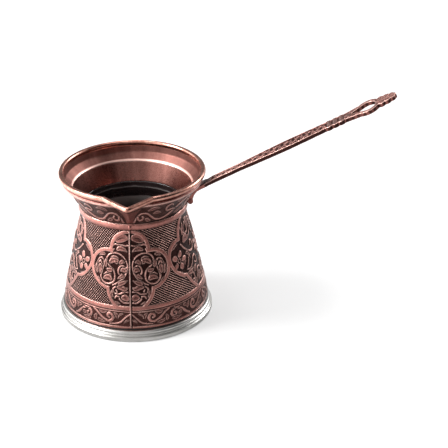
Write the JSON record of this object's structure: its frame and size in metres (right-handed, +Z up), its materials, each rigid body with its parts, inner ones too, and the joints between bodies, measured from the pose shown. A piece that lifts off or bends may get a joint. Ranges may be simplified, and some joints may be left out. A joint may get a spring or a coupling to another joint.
{
  "type": "turkish coffee pot",
  "caption": "Waisted cast coffee pot with a pouring spout, ornamented shell, dark inner vessel, bright steel base and a long riveted handle with a hanging loop.",
  "frame": {"origin": "centre of the base where it rests on the table", "axes": "+Z up along the pot's axis, +X towards the handle's tip, -Y towards the pouring spout"},
  "size_m": [0.182, 0.0926, 0.1252],
  "materials": {
    "antique_copper": "cast copper alloy, antiqued: dark brown recesses and rubbed pinkish copper high places, satin",
    "black_coating": "glossy black coating on thin sheet metal",
    "steel": "bright turned steel",
    "black_seal": "matt black seal",
    "rivet_metal": "bare bright metal"
  },
  "bodies": {
    "root": {"body_shell": "antique_copper", "inner_vessel": "black_coating", "base_pan": "steel", "seal_ring": "black_seal", "handle": "antique_copper", "handle_rivets": "rivet_metal"}
  },
  "joints": []
}
